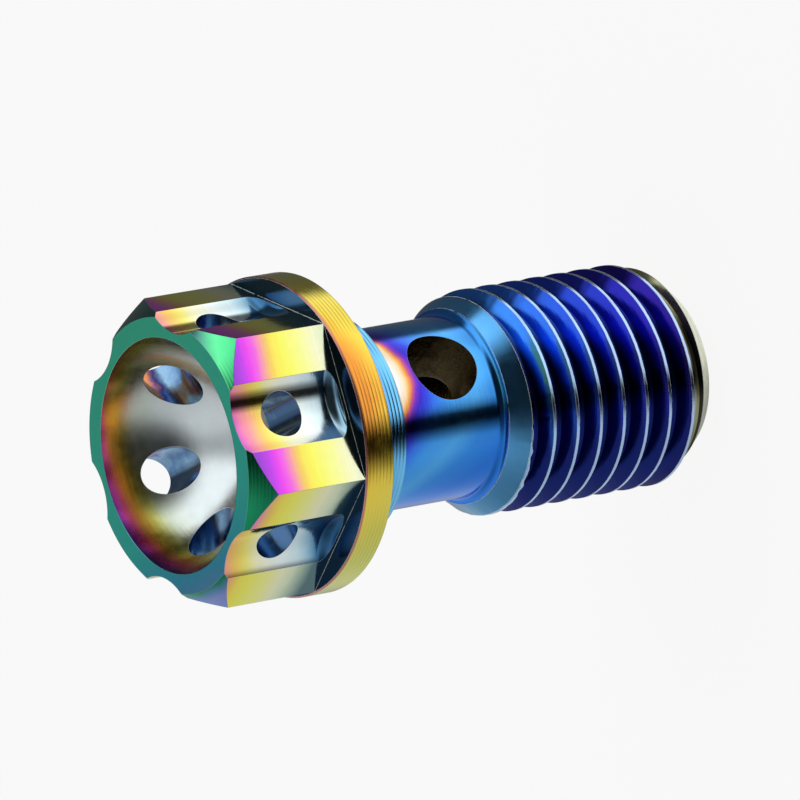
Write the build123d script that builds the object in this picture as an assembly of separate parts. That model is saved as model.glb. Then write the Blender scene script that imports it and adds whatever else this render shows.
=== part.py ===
from build123d import *

import os
from math import radians, sqrt, tan

# Banjo bolt, M10 x 1.25, turned and milled from one titanium bar.
# All sizes in mm. The bolt stands on its threaded end: z = 0 is the end
# face and z grows along the bolt's axis towards the dished head.

# Threaded end. The thread is one right-hand groove that starts on the
# lead-in cone and runs out in the relief below the shank.
THREAD_D = 9.9             # over the thread crests
THREAD_DEPTH = 0.72        # crest to root
THREAD_LEN = 11.1          # end face to the foot of the shank
PITCH = 1.25
CREST_FLAT = 0.17          # along the bolt, left between the turns of the groove
FLANK_ANGLE = 30           # degrees, each flank to the square cross-section
GROOVE_START_ANGLE = 24    # degrees about the axis
GROOVE_OVERRUN = 0.4       # past the foot of the shank
LEAD_LEN = 0.6             # lead-in cone that starts at the end face
LEAD_RISE = 0.45           # radial, over that cone
END_CHAMFER_LEN = 0.65     # second cone, up to the thread crests
END_CHAMFER_RISE = 0.65
SHOULDER_LEN = 0.6         # cone from the thread crests towards the shank
SHOULDER_DROP = 0.65
FOOT_LEN = 0.45            # flatter cone from there down to the shank

# Waisted shank that the fluid flows round, with its cross hole.
SHANK_BELOW_ROOT = 0.23    # radial, so that the thread runs out in the air
SHANK_LEN = 5.9
CROSS_HOLE_D = 3.3
CROSS_HOLE_BELOW_SEAT = 5.55
CROSS_HOLE_ANGLE = -71.3   # degrees about the axis
BORE_D = 3.0               # fluid passage, drilled from the end face
BORE_PAST_CROSS_HOLE = 0.6 # full diameter beyond the cross hole's axis
DRILL_POINT_ANGLE = 118
BORE_MOUTH_CHAMFER = 0.3

# Collar that centres the sealing washer, and the flange above it.
COLLAR_D = 9.9
COLLAR_LEN = 2.2
COLLAR_EDGE = 0.12
FLANGE_D = 14.0
FLANGE_THK = 1.45
RIM_EDGE = 0.06            # edge break on both rims of the flange

# Hexagonal head.
HEX_AF = 12.0
HEAD_LEN = 5.45            # flange to front face
FACE_RING_D = 12.0         # outside of the flat front ring
CORNER_CHAMFER_RATIO = 1.0 # axial length over radial width of the corner cone
FIRST_FLAT_ANGLE = 30      # degrees, direction of one flat

# Dish in the front face: part of a sphere.
DISH_D = 10.25
DISH_SPHERE_R = 5.2

# One flute down the middle of each flat, and one hole through its wall.
FLUTE_R = 2.5
FLUTE_DEPTH = 0.5          # below the flat
FLUTE_END_GAP = 0.15       # shelf left above the flange
FLUTE_END_CHAMFER = 0.35
HEAD_HOLE_D = 2.0
HEAD_HOLE_BELOW_FACE = 2.45

SIDES = 6

# Radii and heights that follow from the sizes above.
CREST_R = THREAD_D / 2
ROOT_R = CREST_R - THREAD_DEPTH
LEAD_R = CREST_R - END_CHAMFER_RISE
END_FACE_R = LEAD_R - LEAD_RISE
SHOULDER_R = CREST_R - SHOULDER_DROP
SHANK_R = ROOT_R - SHANK_BELOW_ROOT
SHANK_Z = THREAD_LEN
COLLAR_Z = SHANK_Z + SHANK_LEN
SEAT_Z = COLLAR_Z + COLLAR_LEN
FLANGE_Z = SEAT_Z + FLANGE_THK
FACE_Z = FLANGE_Z + HEAD_LEN


def turned_blank():
    """The lathe work: one profile of radius and height, turned about Z."""
    flange_r = FLANGE_D / 2
    ring_r = FACE_RING_D / 2
    corner_z = FACE_Z - (flange_r - ring_r) * CORNER_CHAMFER_RATIO
    with BuildSketch(Plane.XZ) as profile:
        with BuildLine():
            Polyline(
                (0, 0),
                (END_FACE_R, 0),
                (LEAD_R, LEAD_LEN),
                (CREST_R, LEAD_LEN + END_CHAMFER_LEN),
                (CREST_R, SHANK_Z - SHOULDER_LEN),
                (SHOULDER_R, SHANK_Z),
                (SHANK_R, SHANK_Z + FOOT_LEN),
                (SHANK_R, COLLAR_Z),
                (COLLAR_D / 2 - COLLAR_EDGE, COLLAR_Z),
                (COLLAR_D / 2, COLLAR_Z + COLLAR_EDGE),
                (COLLAR_D / 2, SEAT_Z),
                (flange_r - RIM_EDGE, SEAT_Z),
                (flange_r, SEAT_Z + RIM_EDGE),
                (flange_r, corner_z),
                (ring_r, FACE_Z),
                (0, FACE_Z),
                (0, 0),
            )
        make_face()
    return revolve(profile.sketch, Axis.Z)


def thread_groove():
    """Trapezoid as wide as the gap between two crests, swept along a helix."""
    widening = tan(radians(FLANK_ANGLE))
    crest_half_gap = (PITCH - CREST_FLAT) / 2
    root_half = crest_half_gap - widening * THREAD_DEPTH
    mouth_half = crest_half_gap + CREST_FLAT / 4
    mouth_r = CREST_R + (mouth_half - crest_half_gap) / widening
    start_z = LEAD_LEN / 2
    helix = Helix(PITCH, SHANK_Z + GROOVE_OVERRUN - start_z, ROOT_R)
    with BuildSketch(Plane.XZ) as section:
        with BuildLine():
            Polyline(
                (ROOT_R, -root_half),
                (mouth_r, -mouth_half),
                (mouth_r, mouth_half),
                (ROOT_R, root_half),
                close=True,
            )
        make_face()
    groove = sweep(section.sketch, path=helix, is_frenet=True)
    return Rot(0, 0, GROOVE_START_ANGLE) * Pos(0, 0, start_z) * groove


def hexagon_waste():
    """What the mill takes off around the head to leave the six flats."""
    tall = HEAD_LEN + 1
    blank = Pos(0, 0, FLANGE_Z) * extrude(Circle(FLANGE_D), tall)
    across_corner_angle = FIRST_FLAT_ANGLE + 180 / SIDES
    flats = RegularPolygon(HEX_AF / 2, SIDES, major_radius=False, rotation=across_corner_angle)
    return blank - Pos(0, 0, FLANGE_Z) * extrude(flats, tall)


def rim_edge_waste():
    """Triangle turned round the flange's front rim to break its edge."""
    r = FLANGE_D / 2
    with BuildSketch(Plane.XZ) as corner:
        with BuildLine():
            Polyline(
                (r - RIM_EDGE, FLANGE_Z),
                (r + RIM_EDGE, FLANGE_Z),
                (r + RIM_EDGE, FLANGE_Z - 2 * RIM_EDGE),
                (r - RIM_EDGE, FLANGE_Z),
                close=True,
            )
        make_face()
    return revolve(corner.sketch, Axis.Z)


def flute_cutter(angle):
    """Cutter with a bevelled nose that runs down the middle of one flat."""
    centre = HEX_AF / 2 - FLUTE_DEPTH + FLUTE_R
    start_z = FLANGE_Z + FLUTE_END_GAP
    cutter = extrude(Circle(FLUTE_R), FACE_Z + 1 - start_z)
    nose = cutter.edges().group_by(Axis.Z)[0]
    cutter = chamfer(nose, FLUTE_END_CHAMFER)
    return Rot(0, 0, angle) * Pos(centre, 0, start_z) * cutter


def radial_drill(diameter, height, angle, reach):
    """Drill right across the bolt, square to its axis."""
    drill = Rot(0, 90, 0) * Cylinder(diameter / 2, 2 * reach)
    return Pos(0, 0, height) * Rot(0, 0, angle) * drill


def dish_cutter():
    centre_z = FACE_Z + sqrt(DISH_SPHERE_R**2 - (DISH_D / 2) ** 2)
    return Pos(0, 0, centre_z) * Sphere(DISH_SPHERE_R)


def fluid_bore():
    """Drilled passage with its pointed end and a chamfered mouth."""
    r = BORE_D / 2
    cross_z = SEAT_Z - CROSS_HOLE_BELOW_SEAT
    straight = cross_z + BORE_PAST_CROSS_HOLE
    drill = Pos(0, 0, straight / 2) * Cylinder(r, straight)
    point_len = r / tan(radians(DRILL_POINT_ANGLE / 2))
    point = Pos(0, 0, straight + point_len / 2) * Cone(r, 0, point_len)
    mouth_r = r + BORE_MOUTH_CHAMFER
    mouth = Pos(0, 0, BORE_MOUTH_CHAMFER / 2) * Cone(mouth_r, r, BORE_MOUTH_CHAMFER)
    return drill + point + mouth


def banjo_bolt():
    bolt = turned_blank() - hexagon_waste() - rim_edge_waste()
    for side in range(SIDES):
        bolt -= flute_cutter(FIRST_FLAT_ANGLE + side * 360 / SIDES)
    bolt -= dish_cutter()
    for pair in range(SIDES // 2):
        angle = FIRST_FLAT_ANGLE + pair * 360 / SIDES
        bolt -= radial_drill(HEAD_HOLE_D, FACE_Z - HEAD_HOLE_BELOW_FACE, angle, HEX_AF)
    cross_z = SEAT_Z - CROSS_HOLE_BELOW_SEAT
    bolt -= radial_drill(CROSS_HOLE_D, cross_z, CROSS_HOLE_ANGLE, CREST_R)
    return bolt - fluid_bore() - thread_groove()


os.makedirs("parts", exist_ok=True)
export_step(banjo_bolt(), "parts/banjo_bolt.step")
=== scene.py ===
import bpy
import math
from mathutils import Matrix, Vector, noise


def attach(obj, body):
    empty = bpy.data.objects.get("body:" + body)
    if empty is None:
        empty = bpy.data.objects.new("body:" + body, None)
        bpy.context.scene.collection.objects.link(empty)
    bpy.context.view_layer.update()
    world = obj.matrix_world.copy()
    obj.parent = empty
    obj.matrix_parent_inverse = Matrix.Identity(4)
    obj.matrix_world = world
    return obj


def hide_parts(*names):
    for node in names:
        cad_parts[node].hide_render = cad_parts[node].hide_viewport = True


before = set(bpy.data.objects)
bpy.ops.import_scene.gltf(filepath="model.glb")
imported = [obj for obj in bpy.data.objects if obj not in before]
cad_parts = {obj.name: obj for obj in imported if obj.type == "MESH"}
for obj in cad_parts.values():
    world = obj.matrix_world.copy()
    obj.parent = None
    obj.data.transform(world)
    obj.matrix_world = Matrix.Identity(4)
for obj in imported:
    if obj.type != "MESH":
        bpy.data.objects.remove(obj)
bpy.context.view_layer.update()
bpy.ops.object.select_all(action="DESELECT")

# Turned blank: titanium bar brought down on the lathe to the threaded end, the
# relieved shank, the collar, the flange and a plain round head. It is worked at
# one unit to a millimetre and brought to metres when the bolt is finished.
LEAD_Z, CREST_Z = 0.6, 1.25    # ends of the two cones that lead the thread in
FOOT_Z = 11.1                  # foot of the shank
SHANK_TOP_Z = 17.0             # the collar begins
SEAT_Z = 19.2                  # underside of the flange
FLANGE_Z = 20.65               # its top, from which the head rises
FACE_Z = 26.1                  # front ring of the head
TIP_R, LEAD_R, THREAD_R = 3.85, 4.3, 4.95
SHOULDER_R, SHANK_R, COLLAR_R, FLANGE_R = 4.3, 4.0, 4.95, 7.0
CORNER_R, RING_R = 6.935, 6.0  # round the hexagon's corners, and the front ring
CORNER_LEN = 0.96              # the corners' finish reaches this far below the ring
SHOULDER_LEN = 0.75            # cone from the thread's crests to the foot
BURR = 0.05                    # turned-over edge where the shoulder begins
FOOT_EDGE = 0.06               # broken edge at the foot
HOLLOW_R = 0.34                # hollow where the shank grows out of the shoulder
COLLAR_EDGE, RIM_EDGE = 0.12, 0.06
FEED = 0.18                    # the turning tool moves this far in one turn


def linear(colour):
    """The linear colour that a shader takes, from an sRGB hex value."""
    parts = [int(colour[i:i + 2], 16) / 255 for i in (1, 3, 5)]
    return (*[p / 12.92 if p <= 0.04045 else ((p + 0.055) / 1.055) ** 2.4 for p in parts], 1.0)


def node(tree, kind, inputs=(), out=0, ramp=(), **settings):
    """Adds a node with its settings and links, and gives the output named, or with None the node.
    An input is a value or the output that feeds it."""
    made = tree.nodes.new(kind)
    for name, value in settings.items():
        setattr(made, name, value)
    for socket, value in dict(inputs).items():
        if isinstance(value, bpy.types.NodeSocket):
            tree.links.new(value, made.inputs[socket])
        else:
            made.inputs[socket].default_value = value
    if ramp:
        stops = made.color_ramp.elements
        while len(stops) > 1:
            stops.remove(stops[-1])
        stops[0].position, stops[0].color = ramp[0]
        for place, colour in ramp[1:]:
            stops.new(place).color = colour
    return made if out is None else made.outputs[out]


def heat_tint(name, tints, tilt=(0, 0), about=(0, 0), wander=0.1, patch=1.2, rough=(0.10, 0.18),
              grain=0.003, feed=0.0, scallop=0.0, edge=0.03, wear_and_highlight_colour="#d9dfdc", wear_and_highlight_share=0.6,
              painted_groove_shade=(), thin=()):
    """Titanium tinted by heat. The oxide film grows along the bolt, so the tint follows the height
    in mm. tilt leans the bands over, in mm per mm from the place about, and wander is how far they
    stray, over patches of that size. Edges are turned in places to a given pale colour, partly
    rubbed bare metal and partly a painted highlight. Two radii and a tint can be given for painted
    shade: the tint goes dark deeper than the radii and on the bolt's underside. Faces turned
    towards thin carry less film."""
    material = bpy.data.materials.new(name)
    material.use_nodes = True
    tree = material.node_tree
    tree.nodes.clear()
    place = node(tree, "ShaderNodeTexCoord", out="Object")
    mm = node(tree, "ShaderNodeVectorMath", {0: place, "Scale": 1000.0}, operation="SCALE")
    facing = node(tree, "ShaderNodeNewGeometry", out="Normal")

    # tint by height, with bands that wander
    height = node(tree, "ShaderNodeVectorMath", {0: mm, 1: (*tilt, 1.0)}, out="Value",
                  operation="DOT_PRODUCT")
    cloud = node(tree, "ShaderNodeTexNoise", {"Vector": mm, "Scale": 1.0 / patch, "Detail": 3.0,
                                              "Roughness": 0.55})
    drift = node(tree, "ShaderNodeMath", {0: cloud, 1: -0.5}, operation="ADD")
    film = node(tree, "ShaderNodeMath", {0: drift, 1: wander * 4.0, 2: height},
                operation="MULTIPLY_ADD")
    if thin:
        turned_to = node(tree, "ShaderNodeVectorMath", {0: facing, 1: (*thin, 0.0)}, out="Value",
                         operation="DOT_PRODUCT")
        less = node(tree, "ShaderNodeMath", {0: turned_to, 1: 0.0}, operation="MAXIMUM")
        film = node(tree, "ShaderNodeMath", {0: film, 1: less}, operation="SUBTRACT")
    low, high = tints[0][0], tints[-1][0]
    lean = tilt[0] * about[0] + tilt[1] * about[1]
    along = node(tree, "ShaderNodeMapRange", {"Value": film, "From Min": low + lean,
                                              "From Max": high + lean})
    tint = node(tree, "ShaderNodeValToRGB", {"Fac": along},
                ramp=[((z - low) / (high - low), linear(c)) for z, c in tints])
    if painted_groove_shade:
        # painted shade: the tint is made darkest deep in the groove and on the bolt's underside,
        # but not at the tip
        across = node(tree, "ShaderNodeVectorMath", {0: mm, 1: (1.0, 1.0, 0.0)},
                      operation="MULTIPLY")
        radius = node(tree, "ShaderNodeVectorMath", {0: across}, out="Value", operation="LENGTH")
        side = node(tree, "ShaderNodeVectorMath", {0: mm, 1: (0.129, -0.153, 0.0)}, out="Value",
                    operation="DOT_PRODUCT")
        radius = node(tree, "ShaderNodeMath", {0: radius, 1: side}, operation="ADD")
        depth = node(tree, "ShaderNodeMapRange", {"Value": radius, "From Min": painted_groove_shade[0],
                                                  "From Max": painted_groove_shade[1], "To Min": 1.0,
                                                  "To Max": 0.0}, interpolation_type="SMOOTHSTEP")
        above_tip = node(tree, "ShaderNodeMapRange", {"Value": height, "From Min": 1.0,
                                                      "From Max": 1.9})
        depth = node(tree, "ShaderNodeMath", {0: depth, 1: above_tip}, operation="MULTIPLY")
        tint = node(tree, "ShaderNodeMix", {0: depth, 6: tint, 7: linear(painted_groove_shade[2])}, out=2,
                    data_type="RGBA")

    # edges: rounded a little, and pale and matt in places: partly rubbed bare metal, partly a
    # painted highlight
    smear = node(tree, "ShaderNodeTexNoise", {"Vector": mm, "Scale": 2.5, "Detail": 5.0})
    normal = node(tree, "ShaderNodeBevel", {"Radius": edge / 1000.0}, samples=8)
    alike = node(tree, "ShaderNodeVectorMath", {0: normal, 1: facing}, out="Value",
                 operation="DOT_PRODUCT")
    wear_and_highlight_mask = node(tree, "ShaderNodeMapRange", {"Value": alike, "From Min": 0.92, "From Max": 0.985,
                                               "To Min": wear_and_highlight_share, "To Max": 0.0})
    kept = node(tree, "ShaderNodeMapRange", {"Value": smear, "From Min": 0.35, "From Max": 0.6})
    wear_and_highlight_mask = node(tree, "ShaderNodeMath", {0: wear_and_highlight_mask, 1: kept}, operation="MULTIPLY",
                  use_clamp=True)
    tint = node(tree, "ShaderNodeMix", {0: wear_and_highlight_mask, 6: tint, 7: linear(wear_and_highlight_colour)}, out=2,
                data_type="RGBA")
    sheen = node(tree, "ShaderNodeMapRange", {"Value": wear_and_highlight_mask, "To Min": 1.0, "To Max": 0.1})

    # handling changes the gloss a little from place to place
    gloss = node(tree, "ShaderNodeMapRange", {"Value": smear, "From Min": 0.3, "From Max": 0.7,
                                              "To Min": rough[0], "To Max": rough[1]})
    matt = node(tree, "ShaderNodeMath", {0: wear_and_highlight_mask, 1: 0.5}, operation="MULTIPLY", use_clamp=True)
    gloss = node(tree, "ShaderNodeMath", {0: gloss, 1: matt}, operation="MAXIMUM")

    # fine lines of tool and polishing cloth, about 0.1 mm apart, run round the bolt
    lines = node(tree, "ShaderNodeMapping", {"Vector": mm, "Scale": (0.15, 0.15, 9.0)})
    streaks = node(tree, "ShaderNodeTexNoise", {"Vector": lines, "Scale": 1.0, "Detail": 4.0})
    normal = node(tree, "ShaderNodeBump", {"Height": streaks, "Distance": grain / 1000.0,
                                           "Normal": normal})
    if feed:
        # the turning tool leaves one shallow hollow for each turn
        z = node(tree, "ShaderNodeSeparateXYZ", {0: mm}, out="Z")
        turn = node(tree, "ShaderNodeMath", {0: z, 1: feed}, operation="DIVIDE")
        inside = node(tree, "ShaderNodeMath", {0: turn}, operation="FRACT")
        centred = node(tree, "ShaderNodeMath", {0: inside, 1: -0.5}, operation="ADD")
        hollow = node(tree, "ShaderNodeMath", {0: centred, 1: centred}, operation="MULTIPLY")
        normal = node(tree, "ShaderNodeBump", {"Height": hollow, "Distance": 4 * scallop / 1000.0,
                                               "Normal": normal})
    metal = node(tree, "ShaderNodeBsdfPrincipled", {"Base Color": tint, "Metallic": sheen,
                                                    "Roughness": gloss, "Normal": normal})
    node(tree, "ShaderNodeOutputMaterial", {"Surface": metal}, out=None)
    return material


def turned(name, profile, segments=256):
    """Draws a disc up through a profile of heights and radii, as a lathe leaves the bar."""
    z, r = profile[0]
    bpy.ops.mesh.primitive_circle_add(vertices=segments, radius=r, fill_type="NGON",
                                      location=(0, 0, z))
    piece = bpy.context.object
    piece.name = name
    bpy.ops.object.mode_set(mode="EDIT")
    for next_z, next_r in profile[1:]:
        bpy.ops.mesh.extrude_region_move(TRANSFORM_OT_translate={"value": (0, 0, next_z - z)})
        bpy.ops.transform.resize(value=(next_r / r, next_r / r, 1))
        z, r = next_z, next_r
    bpy.ops.mesh.select_all(action="SELECT")
    bpy.ops.mesh.normals_make_consistent(inside=False)
    bpy.ops.object.mode_set(mode="OBJECT")
    bpy.ops.object.transform_apply(location=True, rotation=True, scale=True)
    return piece


def cut(piece, tool):
    """Takes the tool's volume off the piece. The cut faces get the tool's finish."""
    bpy.ops.object.select_all(action="DESELECT")
    bpy.context.view_layer.objects.active = piece
    piece.select_set(True)
    bpy.ops.object.modifier_add(type="BOOLEAN")
    step = piece.modifiers[-1]
    step.object, step.operation, step.solver = tool, "DIFFERENCE", "EXACT"
    step.material_mode = "TRANSFER"
    bpy.ops.object.modifier_apply(modifier=step.name)
    bpy.data.objects.remove(tool)


# faced after the tinting: pale bare titanium with a soft, slightly rough gloss
bare = heat_tint(
    "machined_titanium_bare",
    [(0, "#c8cfb4"), (0.3, "#b4ba9e"), (0.6, "#c4cab0"), (1.3, "#b0b494")],
    wander=0.1, patch=1.0, rough=(0.2, 0.3), grain=0.008)
# the tinted zones, from the threaded end to the front ring
bands = {
    # turned cone, the least heated zone: straw to brown
    "tip": heat_tint(
        "heat_tinted_titanium_tip",
        [(0.5, "#bcc0a2"), (0.9, "#a6a684"), (1.1, "#8a8250"), (1.25, "#5a5430"), (1.5, "#34331e")],
        wander=0.10, patch=0.6, rough=(0.2, 0.32), grain=0.012),
    # crests worn by the die: thin pale lines round the dark thread, their white edges partly rubbed
    # metal and partly painted highlight
    "crest": heat_tint(
        "rolled_titanium_crest", [(1.2, "#b8d4fc"), (11.0, "#acd8ff")],
        rough=(0.12, 0.2), grain=0.006, edge=0.05, wear_and_highlight_colour="#ffffff", wear_and_highlight_share=4.0),
    # turned cone: a duller steel blue with a pale edge, partly burr and partly painted highlight
    "shoulder": heat_tint(
        "heat_tinted_titanium_shoulder",
        [(9.3, "#589ccc"), (10.4, "#5ca6dc"), (11.0, "#60b0f0"), (11.5, "#68bcfe"),
         (13.0, "#74c8fc")],
        tilt=(0.1, -0.25), about=(0, -4), wander=0.1, rough=(0.12, 0.22), grain=0.006, edge=0.05,
        wear_and_highlight_colour="#ffffff", wear_and_highlight_share=5.0),
    # polished: blue, running through purple and gold to white beside the collar on one side
    "shank": heat_tint(
        "heat_tinted_titanium_shank",
        [(10.2, "#3a88f0"), (13.4, "#2f80ec"), (15.4, "#3c92ee"), (16.6, "#56b0f8"),
         (18.0, "#48a2fa"), (18.8, "#3f80f6"), (19.3, "#3c50e4"), (19.65, "#4436d0"),
         (19.9, "#7a3cc4"), (20.08, "#c85c80"), (20.24, "#eda446"), (20.45, "#f9dcb0"),
         (20.8, "#f6eeee"), (21.6, "#cfeaf5")],
        tilt=(0.385, -1.06), wander=0.12, patch=1.6, rough=(0.10, 0.17), grain=0.003),
    # as turned: light blue, drawn into fine bright rings by the tool
    "collar": heat_tint(
        "heat_tinted_titanium_collar", [(17.0, "#7fd2ff"), (18.2, "#63b4f4"), (19.2, "#8fd8f8")],
        rough=(0.09, 0.15), feed=FEED, scallop=0.012, grain=0.004),
    # as turned: yellow to orange, with the same rings
    "rim": heat_tint(
        "heat_tinted_titanium_rim",
        [(12.0, "#d2da78"), (24.0, "#dade72"), (27.0, "#ecde62"), (29.2, "#f8da54"),
         (29.9, "#f6c04a"), (30.6, "#ee9c42")],
        tilt=(0.052, -1.499), wander=0.35, patch=2.5, rough=(0.13, 0.22), feed=FEED, scallop=0.006,
        grain=0.006),
    # broken edge: a thin pink line
    "rim_edge": heat_tint(
        "heat_tinted_titanium_rim_edge", [(20.5, "#dc9a84"), (20.8, "#d88c8c")], rough=(0.2, 0.3)),
    # milled floor round the head: dark steel blue, with a painted white highlight at the foot of
    # the flats
    "flange": heat_tint(
        "heat_tinted_titanium_flange", [(20.4, "#3a5a7a"), (20.9, "#426488")],
        wander=0.1, rough=(0.10, 0.18), grain=0.004, edge=0.06, wear_and_highlight_colour="#ffffff", wear_and_highlight_share=3.0),
    # turned corners of the hexagon: deep green, with finer rings
    "corner": heat_tint(
        "heat_tinted_titanium_corner",
        [(23.7, "#8c9ce0"), (24.05, "#5a90b8"), (24.3, "#1d8c60"), (25.6, "#2fb87c"),
         (26.3, "#50dc90"), (26.8, "#68f2a2"), (27.3, "#5a9a92"), (27.8, "#4a7a78")],
        tilt=(0.3, 0.0), wander=0.06, rough=(0.12, 0.2), feed=0.11, scallop=0.002, grain=0.006),
    # faced flat: an even satin teal
    "ring": heat_tint(
        "heat_tinted_titanium_ring",
        [(25.42, "#7490c8"), (25.58, "#40a4c4"), (25.8, "#3cc4b8"), (26.1, "#42ceb2"),
         (26.7, "#48cea8")],
        tilt=(0.1, 0.0), wander=0.03, patch=3.0, rough=(0.16, 0.22), grain=0.0, wear_and_highlight_share=0.4),
}

profile = [(0, TIP_R), (LEAD_Z, LEAD_R), (CREST_Z, THREAD_R), (FOOT_Z - SHOULDER_LEN, THREAD_R),
           (FOOT_Z - SHOULDER_LEN + BURR, THREAD_R - BURR), (FOOT_Z, SHOULDER_R + FOOT_EDGE),
           (FOOT_Z + FOOT_EDGE, SHOULDER_R)]
for degrees in range(6, 91, 7):
    a = math.radians(degrees)
    profile.append((FOOT_Z + 0.1 + HOLLOW_R * (1 - math.cos(a)),
                    SHANK_R + HOLLOW_R * (1 - math.sin(a))))
profile += [(SHANK_TOP_Z, SHANK_R), (SHANK_TOP_Z, COLLAR_R - COLLAR_EDGE),
            (SHANK_TOP_Z + COLLAR_EDGE, COLLAR_R), (SEAT_Z, COLLAR_R),
            (SEAT_Z, FLANGE_R - RIM_EDGE), (SEAT_Z + RIM_EDGE, FLANGE_R),
            (FLANGE_Z - RIM_EDGE, FLANGE_R), (FLANGE_Z, CORNER_R),
            (FACE_Z - CORNER_R + RING_R, CORNER_R), (FACE_Z, RING_R)]
bolt = turned("bolt", profile)
for material in (bare, *bands.values()):
    bolt.data.materials.append(material)
# each zone begins at this height
zones = [(-1.0, "bare"), (LEAD_Z, "tip"), (CREST_Z, "crest"),
         (FOOT_Z - SHOULDER_LEN + 0.045, "shoulder"), (FOOT_Z + 0.08, "shank"),
         (SHANK_TOP_Z, "collar"), (SEAT_Z - 0.001, "rim"), (FLANGE_Z - RIM_EDGE, "rim_edge"),
         (FLANGE_Z, "flange"), (FACE_Z - CORNER_LEN, "corner"), (FACE_Z - 0.01, "ring")]
for face in bolt.data.polygons:
    zone = [name for start, name in zones if face.center.z >= start][-1]
    face.material_index = 0 if zone == "bare" else 1 + list(bands).index(zone)

# Hexagonal head: six flats, 12 mm across, milled on the round blank down to the
# flange, so that only the corners keep the turned cone.
HEX_AF = 12.0
MILL_OUT, MILL_UP = 1.4, 6.5  # the mill's path reaches clear of the blank: times wider, mm up
LEAN = (-0.02, -0.12)         # the colours sit lower on the bolt's underside
# ground and polished, so the tint shows at its purest: purple at the front, then
# pink and yellow, and pale green at the flange
flat_tint = heat_tint(
    "heat_tinted_titanium_flats",
    [(19.6, "#5f7f86"), (20.0, "#9cb8ac"), (20.6, "#dceccc"), (21.2, "#f8fad0"), (22.0, "#fcfe9c"),
     (22.9, "#fcfc6c"), (23.4, "#fef065"), (23.8, "#fad070"), (24.15, "#fba6ac"),
     (24.5, "#f772e8"), (24.9, "#f252f4"), (25.3, "#c84ff0"), (25.8, "#a04fd8")],
    tilt=LEAN, about=(0, -6), wander=0.14, patch=2.2, rough=(0.10, 0.16), grain=0.0015,
    thin=(-1.6, 0.0))
bpy.ops.mesh.primitive_circle_add(vertices=6, radius=HEX_AF / 2 / math.cos(math.pi / 6),
                                  fill_type="NOTHING", location=(0, 0, FLANGE_Z))
hexagon = bpy.context.object
bpy.ops.object.transform_apply(location=True, rotation=True, scale=True)
corner = max(hexagon.data.vertices, key=lambda v: v.co.x).co
hexagon.rotation_euler.z = -math.atan2(corner.y, corner.x)
bpy.ops.object.transform_apply(location=True, rotation=True, scale=True)
bpy.ops.object.mode_set(mode="EDIT")
bpy.ops.mesh.select_all(action="SELECT")
bpy.ops.mesh.extrude_region_move(TRANSFORM_OT_translate={"value": (0, 0, 0)})
bpy.ops.transform.resize(value=(MILL_OUT, MILL_OUT, 1))
bpy.ops.mesh.select_all(action="SELECT")
bpy.ops.mesh.extrude_region_move(TRANSFORM_OT_translate={"value": (0, 0, MILL_UP)})
bpy.ops.mesh.select_all(action="SELECT")
bpy.ops.mesh.normals_make_consistent(inside=False)
bpy.ops.object.mode_set(mode="OBJECT")
hexagon.data.materials.append(flat_tint)
hexagon.data.materials.append(bands["flange"])
for face in hexagon.data.polygons:
    face.material_index = 1 if face.normal.z < -0.5 else 0
cut(bolt, hexagon)

# Flutes: a round-nosed cutter runs down the middle of each flat and stops just
# above the flange, which leaves a rounded end there.
FLUTE_R, FLUTE_DEPTH, FLUTE_GAP, NOSE_R = 2.5, 0.5, 0.15, 0.5
# ground and polished like the flats: pink at the front, then yellow, then pale film whitened
# as a painted highlight, and dark blue in the rounded end
flute_tint = heat_tint(
    "heat_tinted_titanium_flutes",
    [(19.4, "#16304a"), (20.1, "#1d4366"), (20.5, "#4a84b4"), (21.0, "#9cc8e0"), (21.6, "#d4eef6"),
     (22.6, "#f2fcfa"), (23.7, "#fcfcd0"), (24.3, "#fbf27c"), (24.9, "#fcd070"), (25.3, "#fbae98"),
     (25.7, "#f58fb0"), (26.1, "#d86cc8")],
    tilt=LEAN, about=(0, -5.5), wander=0.12, patch=1.8, rough=(0.10, 0.16), grain=0.002,
    thin=(-0.8, 0.0))
nose = []
for degrees in range(0, 91, 6):
    a = math.radians(degrees)
    nose.append((FLANGE_Z + FLUTE_GAP + NOSE_R * (1 - math.cos(a)),
                 FLUTE_R - NOSE_R * (1 - math.sin(a))))
axis_r = HEX_AF / 2 - FLUTE_DEPTH + FLUTE_R
for side in range(6):
    cutter = turned("flute", nose + [(FACE_Z + 1, FLUTE_R)], segments=180)
    cutter.data.materials.append(flute_tint)
    a = math.radians(30 + 60 * side)
    cutter.data.transform(Matrix.Translation((axis_r * math.cos(a), axis_r * math.sin(a), 0)))
    cut(bolt, cutter)

# Dish in the front face, part of a sphere, and the six holes that are drilled
# through the flutes into it to take out weight.
DISH_R, DISH_MOUTH_R = 5.2, 5.125
HEAD_HOLE_D, HEAD_HOLE_Z = 2.0, FACE_Z - 2.45
# turned with a form tool and left satin: nearly bare at the bottom, with a narrow
# rainbow at the mouth
dish_tint = heat_tint(
    "heat_tinted_titanium_dish",
    [(21.7, "#dfe9ef"), (23.8, "#dde8e8"), (24.6, "#d8e4d0"), (25.05, "#d4d67c"), (25.4, "#e0be54"),
     (25.7, "#e49058"), (25.95, "#e05c88"), (26.2, "#cc48b0"), (26.45, "#7c4cb8"),
     (26.7, "#4c62b0")],
    tilt=(-0.10, 0.03), wander=0.10, patch=2.0, rough=(0.18, 0.26), grain=0.002)
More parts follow.
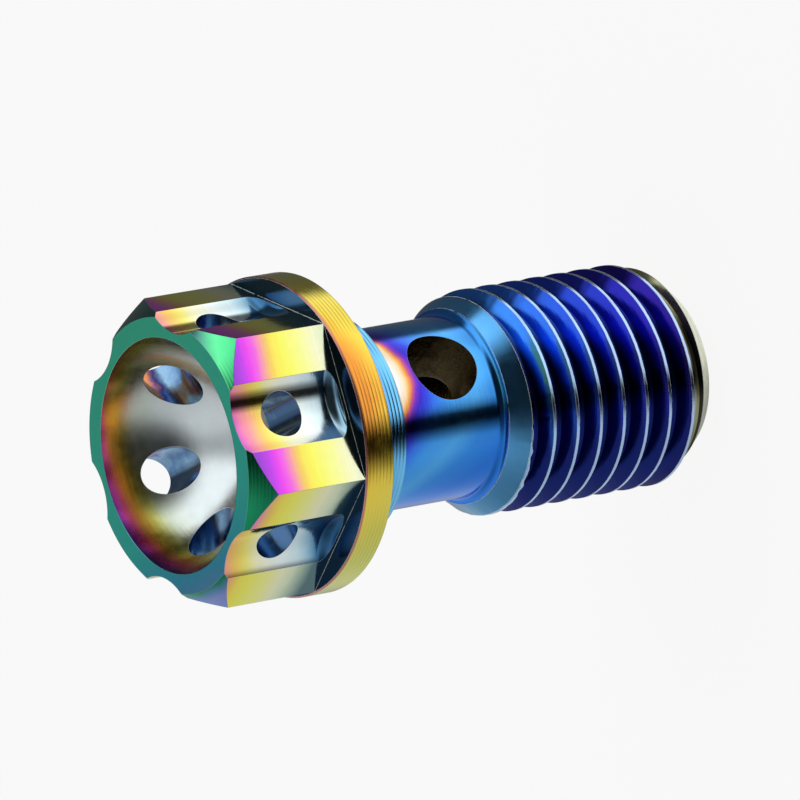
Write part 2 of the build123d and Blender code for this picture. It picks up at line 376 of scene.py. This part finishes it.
# drilled: streaky blue walls, with a purple and copper end towards the front
hole_tint = heat_tint(
    "heat_tinted_titanium_holes",
    [(22.4, "#4a6c94"), (22.9, "#8cb6d8"), (23.4, "#6088b8"), (23.9, "#94bee0"), (24.35, "#48489a"),
     (24.65, "#d8884c")],
    tilt=(0.12, 0.12), wander=0.3, patch=0.8, rough=(0.14, 0.24), grain=0.005)
sphere_z = FACE_Z + math.sqrt(DISH_R ** 2 - DISH_MOUTH_R ** 2)
bpy.ops.mesh.primitive_uv_sphere_add(segments=192, ring_count=96, radius=DISH_R,
                                     location=(0, 0, sphere_z))
sphere = bpy.context.object
bpy.ops.object.transform_apply(location=True, rotation=True, scale=True)
sphere.data.materials.append(dish_tint)
cut(bolt, sphere)


def drill(name, diameter, height, direction, start, end, finish):
    """Drill of that diameter, square to the axis, from one distance out to another."""
    bpy.ops.mesh.primitive_cylinder_add(vertices=128, radius=diameter / 2, depth=end - start,
                                        rotation=(0, math.pi / 2, 0),
                                        location=((start + end) / 2, 0, 0))
    tool = bpy.context.object
    tool.name = name
    bpy.ops.object.transform_apply(location=True, rotation=True, scale=True)
    turn = Matrix.Rotation(math.radians(direction), 4, "Z")
    tool.data.transform(Matrix.Translation((0, 0, height)) @ turn)
    tool.data.materials.append(finish)
    return tool


for side in range(6):
    cut(bolt, drill("head_drill", HEAD_HOLE_D, HEAD_HOLE_Z, 30 + 60 * side, 2.4, 8.0, hole_tint))

# Thread, M10 x 1.25, rolled into the end of the bolt: one right-hand groove with
# flanks of 30 degrees and a rounded root. It ends behind, just before the shoulder.
PITCH, ROOT_R, ROOT_ROUND, CREST_FLAT = 1.25, 4.23, 0.25, 0.15
FLANK_ANGLE = 30.0
GROOVE_ANGLE, GROOVE_Z = 260.54, 1.121  # the groove's middle is at this height there
TURNS, STEPS_A_TURN = 10.3, 192
RUN_OUT, RUN_OUT_RISE = 0.35, 0.8       # over the last part of a turn the groove rises this far
UNEVEN, RAGGED = 0.012, 0.09            # how far the crests stray, and the last one
# smooth and bright from the rolling: deep blue that turns to indigo towards the
# tip, with painted shade in the roots and on the underside, and straw at the very tip
thread_tint = heat_tint(
    "heat_tinted_titanium_thread",
    [(0.3, "#b8bc9c"), (1.0, "#a8aa88"), (1.2, "#7a7444"), (1.4, "#3c3a24"), (1.65, "#262052"),
     (2.0, "#30249a"), (4.0, "#2c30b8"), (6.5, "#2c50d6"), (9.0, "#3a7ef2"), (11.3, "#48a0f8")],
    wander=0.12, patch=1.5, rough=(0.12, 0.2), grain=0.006, edge=0.03, wear_and_highlight_colour="#dfe8f4",
    painted_groove_shade=(4.9, 5.6, "#1a2874"))
start_z = GROOVE_Z - 2 * PITCH - PITCH * GROOVE_ANGLE / 360
mouth_r = THREAD_R + 0.05
half_mouth = (PITCH - CREST_FLAT) / 2 + (mouth_r - THREAD_R) * math.tan(math.radians(FLANK_ANGLE))
section = [(mouth_r, -half_mouth)]
for degrees in range(-60, 61, 15):
    a = math.radians(degrees)
    section.append((ROOT_R + ROOT_ROUND * (1 - math.cos(a)), ROOT_ROUND * math.sin(a)))
section.append((mouth_r, half_mouth))
bpy.ops.mesh.primitive_circle_add(vertices=len(section), radius=1, fill_type="NOTHING",
                                  location=(0, 0, 0))
groove = bpy.context.object
for vertex, (r, z) in zip(groove.data.vertices, section):
    vertex.co = (r, 0, z + start_z)
bpy.ops.object.modifier_add(type="SCREW")
screw = groove.modifiers[-1]
screw.axis, screw.iterations = "Z", 1
screw.angle, screw.screw_offset = TURNS * 2 * math.pi, TURNS * PITCH
screw.steps = screw.render_steps = round(TURNS * STEPS_A_TURN)
bpy.ops.object.modifier_apply(modifier=screw.name)
bpy.ops.object.mode_set(mode="EDIT")
bpy.ops.mesh.select_all(action="SELECT")
bpy.ops.mesh.fill_holes(sides=len(section))
bpy.ops.mesh.select_all(action="SELECT")
bpy.ops.mesh.normals_make_consistent(inside=False)
bpy.ops.object.mode_set(mode="OBJECT")
# over the run-out the groove grows shallow until it leaves the bolt
for vertex in groove.data.vertices:
    part = math.atan2(vertex.co.y, vertex.co.x) / (2 * math.pi) % 1
    turn = round((vertex.co.z - start_z) / PITCH - part) + part
    out = max(0, turn - TURNS + RUN_OUT) / RUN_OUT
    grow = 1 + RUN_OUT_RISE * out / math.hypot(vertex.co.x, vertex.co.y)
    vertex.co.x, vertex.co.y = vertex.co.x * grow, vertex.co.y * grow
groove.data.materials.clear()
groove.data.materials.append(thread_tint)
cut(bolt, groove)
# the crests are a little uneven, and the last one, at the shoulder, is ragged
for vertex in bolt.data.vertices:
    if math.hypot(vertex.co.x, vertex.co.y) > THREAD_R - 0.01 and vertex.co.z < FOOT_Z - 0.3:
        ragged = RAGGED if vertex.co.z > FOOT_Z - 1.1 else UNEVEN
        vertex.co.z += ragged * noise.noise(vertex.co * 3.0)
        shrink = 1 - 0.25 * ragged * (0.5 + 0.5 * noise.noise(vertex.co * 5.0)) / THREAD_R
        vertex.co.x, vertex.co.y = vertex.co.x * shrink, vertex.co.y * shrink

# Fluid passage: a bore up the threaded end, with its pointed end and chamfered
# mouth, and a cross hole through the shank that opens into it.
BORE_R, BORE_MOUTH = 1.5, 0.3
CROSS_HOLE_D, CROSS_HOLE_Z, CROSS_HOLE_ANGLE = 3.3, SEAT_Z - 5.55, -71.3
# drilled after the tinting: bare, brownish and rough, in uneven light and dark bands
drilled = heat_tint(
    "drilled_titanium_bare",
    [(0, "#a09680"), (12.4, "#b4a88c"), (13.0, "#6e6450"), (13.6, "#c0b494"), (14.1, "#5c543f"),
     (14.7, "#a49878"), (15.3, "#4c4636")],
    wander=0.5, patch=0.6, rough=(0.2, 0.36), grain=0.03)
cut(bolt, drill("cross_drill", CROSS_HOLE_D, CROSS_HOLE_Z, CROSS_HOLE_ANGLE, -6.0, 6.0, drilled))
bore = turned("bore", [(-0.2, BORE_R + BORE_MOUTH + 0.2), (BORE_MOUTH, BORE_R),
                       (CROSS_HOLE_Z + 0.6, BORE_R), (CROSS_HOLE_Z + 1.5, 0.01)], segments=128)
bore.data.materials.append(drilled)
cut(bolt, bore)

# Finished bolt: points that the cuts left side by side are merged, surfaces are
# smooth up to the real edges, and the sizes are brought to metres.
bpy.ops.object.select_all(action="DESELECT")
bpy.context.view_layer.objects.active = bolt
bolt.select_set(True)
bpy.ops.object.mode_set(mode="EDIT")
bpy.ops.mesh.select_all(action="SELECT")
bpy.ops.mesh.remove_doubles(threshold=0.0004)
bpy.ops.transform.resize(value=(0.001, 0.001, 0.001), center_override=(0, 0, 0))
bpy.ops.object.mode_set(mode="OBJECT")
bpy.ops.object.shade_smooth_by_angle(angle=math.radians(9))
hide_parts("banjo_bolt")
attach(bolt, "root")

# Studio: a white paper sweep under the bolt, and round it a light tent that the
# polished metal mirrors, with dark gaps at table height, at the camera and behind.
bpy.ops.mesh.primitive_circle_add(vertices=64, radius=1.5, fill_type="NGON",
                                  location=(0, 0, -0.00005))
floor = bpy.context.object
floor.name = "floor"
floor.visible_glossy = False
PAPER_GLOW = 0.9  # share of its own white; the rest takes the shadow
# uncoated white paper: an even matt white that keeps the bolt's faint shadow
paper = bpy.data.materials.new("white_studio_paper")
paper.use_nodes = True
tree = paper.node_tree
tree.nodes.clear()
matt = node(tree, "ShaderNodeBsdfDiffuse", {"Color": linear("#f6f6f6")})
glow = node(tree, "ShaderNodeEmission", {"Color": (1, 1, 1, 1), "Strength": 1.0})
ray = node(tree, "ShaderNodeLightPath", out=None).outputs
seen = node(tree, "ShaderNodeMath", {0: ray["Is Camera Ray"], 1: ray["Is Glossy Ray"]},
            operation="ADD")
seen = node(tree, "ShaderNodeMath", {0: seen, 1: ray["Is Transmission Ray"]}, operation="ADD")
share = node(tree, "ShaderNodeMath", {0: seen, 1: PAPER_GLOW}, operation="MULTIPLY")
both = node(tree, "ShaderNodeMixShader", {0: share, 1: matt, 2: glow})
node(tree, "ShaderNodeOutputMaterial", {"Surface": both}, out=None)
floor.data.materials.append(paper)

tent = bpy.data.worlds.new("light_tent")
bpy.context.scene.world = tent
tent.use_nodes = True
tree = tent.node_tree
tree.nodes.clear()
# the tent's own directions: the bolt lies on its side in it
RIGHT = (-0.261, -0.5212, -0.8126)
UP = (0.9558, -0.2578, -0.1417)
FRONT = (-0.1356, -0.8136, 0.5654)


def towards(around, above):
    """A direction, in degrees round from the front to the right, and above the table."""
    a, b = math.radians(around), math.radians(above)
    level = Vector(RIGHT) * math.sin(a) + Vector(FRONT) * math.cos(a)
    return level * math.cos(b) + Vector(UP) * math.sin(b)


def brightness(*stops):
    """Ramp stops from pairs of degrees above the table and brightness there."""
    return [((1 + math.sin(math.radians(above))) / 2, (value, value, value, 1.0))
            for above, value in stops]


way = node(tree, "ShaderNodeTexCoord", out="Generated")
up = node(tree, "ShaderNodeVectorMath", {0: way, 1: UP}, out="Value", operation="DOT_PRODUCT")
level = node(tree, "ShaderNodeMapRange", {"Value": up, "From Min": -1.0, "From Max": 1.0})
# lit walls and roof, and the dark side that the camera looks out of
sides = node(tree, "ShaderNodeValToRGB", {"Fac": level}, ramp=brightness(
    (-90, 0.35), (-60, 0.5), (-35, 0.68), (-24, 0.66), (-14, 0.42), (-5, 0.45), (1, 0.85),
    (7, 1.15), (60, 1.2), (75, 0.6), (90, 0.5)))
near = node(tree, "ShaderNodeValToRGB", {"Fac": level}, ramp=brightness(
    (-90, 0.3), (-60, 0.36), (-40, 0.34), (-28, 0.12), (-15, 0.03), (30, 0.025), (50, 0.12),
    (65, 0.45), (90, 0.5)))
to_front = node(tree, "ShaderNodeVectorMath", {0: way, 1: towards(10, 5)}, out="Value",
                operation="DOT_PRODUCT")
front = node(tree, "ShaderNodeMapRange", {"Value": to_front, "From Min": 0.42, "From Max": 0.82},
             interpolation_type="SMOOTHSTEP")
light = node(tree, "ShaderNodeMix", {0: front, 6: sides, 7: near}, out=2, data_type="RGBA")
# dark gap between the table and the right-hand light
gap = node(tree, "ShaderNodeValToRGB", {"Fac": level}, ramp=brightness(
    (-90, 1.0), (-24, 1.0), (-14, 0.35), (-9, 0.02), (1, 0.02), (8, 0.6), (13, 1.0), (90, 1.0)))
to_right = node(tree, "ShaderNodeVectorMath", {0: way, 1: RIGHT}, out="Value",
                operation="DOT_PRODUCT")
right_side = node(tree, "ShaderNodeMapRange", {"Value": to_right, "From Min": 0.5,
                                               "From Max": 0.75}, interpolation_type="SMOOTHSTEP")
gapped = node(tree, "ShaderNodeMix", {0: right_side, 6: (1, 1, 1, 1), 7: gap}, out=2,
              data_type="RGBA")
light = node(tree, "ShaderNodeVectorMath", {0: light, 1: gapped}, operation="MULTIPLY")
# dark openings behind, above the sweep, and to the left of that
to_back = node(tree, "ShaderNodeVectorMath", {0: way, 1: towards(183, 36)}, out="Value",
               operation="DOT_PRODUCT")
back = node(tree, "ShaderNodeMapRange", {"Value": to_back, "From Min": 0.93, "From Max": 0.975,
                                         "To Min": 1.0, "To Max": 0.14},
            interpolation_type="SMOOTHSTEP")
to_left = node(tree, "ShaderNodeVectorMath", {0: way, 1: towards(-140, 32)}, out="Value",
               operation="DOT_PRODUCT")
left_back = node(tree, "ShaderNodeMapRange", {"Value": to_left, "From Min": 0.65, "From Max": 0.75,
                                              "To Min": 1.0, "To Max": 0.09},
                 interpolation_type="SMOOTHSTEP")
back = node(tree, "ShaderNodeMath", {0: back, 1: left_back}, operation="MINIMUM")
lit = node(tree, "ShaderNodeVectorMath", {0: light, "Scale": back}, operation="SCALE")
glow = node(tree, "ShaderNodeBackground", {"Color": lit, "Strength": 1.0})
node(tree, "ShaderNodeOutputWorld", {"Surface": glow}, out=None)

# Camera: half a metre off with a long lens, turned until the bolt lies down in
# the picture as it does in the photograph.
lens = bpy.data.cameras.new("camera")
lens.lens, lens.sensor_width, lens.clip_start, lens.clip_end = 510.74, 36.0, 0.01, 20.0
camera = bpy.data.objects.new("camera", lens)
bpy.context.scene.collection.objects.link(camera)
right = Vector((-0.26097819, -0.52115352, -0.81258193)).normalized()
view = Vector((0.13561924, 0.8136113, -0.56537075)).normalized()
pose = Matrix((right, right.cross(view), -view)).transposed().to_4x4()
camera.matrix_world = Matrix.Translation((-0.066114, -0.400582, 0.292049)) @ pose
bpy.context.scene.camera = camera
bpy.context.scene.view_settings.view_transform = "Standard"
